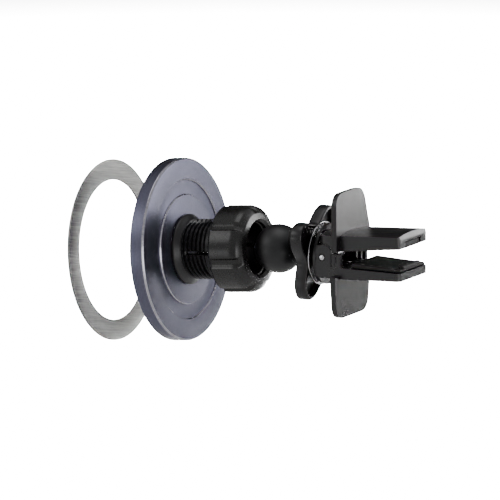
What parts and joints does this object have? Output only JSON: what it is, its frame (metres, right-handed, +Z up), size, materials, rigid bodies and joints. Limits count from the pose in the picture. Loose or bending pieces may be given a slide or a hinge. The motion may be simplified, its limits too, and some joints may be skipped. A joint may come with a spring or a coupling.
{
  "type": "car phone mount",
  "caption": "Magnetic car phone mount: stick-on steel ring, aluminium magnet disc on a threaded ball socket with collar nut, and a vent clip with ball, clamping knob and two hinged jaws.",
  "frame": {"origin": "in the gap between the clip's two rubber pads, where the vent blade is gripped, 40 mm from the ball's centre", "axes": "+X along the clip from the ball to the jaws' tips, +Y across the jaws along the pivot pin, +Z up through the wings"},
  "size_m": [0.116, 0.0608, 0.063],
  "materials": {
    "anodised_aluminium": "blue-grey satin anodising over turned aluminium",
    "brushed_steel": "straight brushed steel",
    "chrome": "bright chrome plating",
    "zinc_steel": "zinc plated steel",
    "nickel": "nickel plated sintered magnet",
    "black_plastic": "satin black moulded plastic",
    "ball_rubber": "fine grained soft-touch coating",
    "pad_rubber": "matte black moulded rubber",
    "soft_pad": "matte silicone face",
    "tape_film": "adhesive film under a white liner"
  },
  "bodies": {
    "clip": {"clip_body": "black_plastic", "pivot_pin": "chrome", "lower_pad": "pad_rubber", "torsion_spring": "chrome"},
    "upper_jaw": {"upper_jaw": "black_plastic", "upper_pad": "pad_rubber"},
    "washer": {"clamp_washer": "chrome"},
    "knob": {"clamp_knob": "black_plastic"},
    "stud": {"ball_stud": "zinc_steel"},
    "ball": {"ball": "ball_rubber"},
    "nut": {"collar_nut": "black_plastic"},
    "head": {"socket_neck": "black_plastic", "disc_housing": "anodised_aluminium", "face_pad": "soft_pad", "shunt_ring": "zinc_steel", "magnet_carrier": "black_plastic", "magnet_1": "nickel", "magnet_2": "nickel", "magnet_3": "nickel", "magnet_4": "nickel", "magnet_5": "nickel", "magnet_6": "nickel", "magnet_7": "nickel", "magnet_8": "nickel", "magnet_9": "nickel", "magnet_10": "nickel", "magnet_11": "nickel", "magnet_12": "nickel", "magnet_13": "nickel", "magnet_14": "nickel", "magnet_15": "nickel", "magnet_16": "nickel", "flange_screw_1": "zinc_steel", "flange_screw_2": "zinc_steel", "flange_screw_3": "zinc_steel"},
    "ring": {"steel_ring": "brushed_steel", "ring_adhesive": "tape_film"}
  },
  "joints": [
    {"name": "jaw_close", "type": "hinge", "parent": "clip", "child": "upper_jaw", "pos_m": [-0.0189, 0, -0.0003], "axis": [0, 1, 0], "range_deg": [-2.95, 8.5], "deforming": ["torsion_spring"]},
    {"name": "washer_slide", "type": "slide", "parent": "clip", "child": "washer", "axis": [1, 0, 0], "range_m": [-0.00034, 0.00096]},
    {"name": "knob_turn", "type": "hinge", "parent": "washer", "child": "knob", "pos_m": [-0.028, 0, -0.0008], "axis": [1, 0, 0], "range_deg": [-95, 275]},
    {"name": "head_roll", "type": "hinge", "parent": "clip", "child": "stud", "pos_m": [-0.04, 0, -0.0008], "axis": [1, 0, 0], "range_deg": [-180, 180]},
    {"name": "head_tilt", "type": "hinge", "parent": "stud", "child": "ball", "pos_m": [-0.04, 0, -0.0008], "axis": [0, 1, 0], "range_deg": [-19.5, 30.5]},
    {"name": "head_slide", "type": "slide", "parent": "ball", "child": "nut", "axis": [0.9954, 0, 0.0958], "range_m": [0, 0.012]},
    {"name": "disc_turn", "type": "hinge", "parent": "nut", "child": "head", "pos_m": [-0.04, 0, -0.0008], "axis": [0.9954, 0, 0.0958], "range_deg": [-180, 180]},
    {"name": "ring_slide", "type": "slide", "parent": "head", "child": "ring", "axis": [0.9954, 0, 0.0958], "range_m": [0, 0.02235]}
  ],
  "couplings": [
    {"joint": "washer_slide", "follows": "knob_turn", "m_per_rad": 0.00019894},
    {"joint": "jaw_close", "follows": "knob_turn", "ratio": 0.030606}
  ]
}
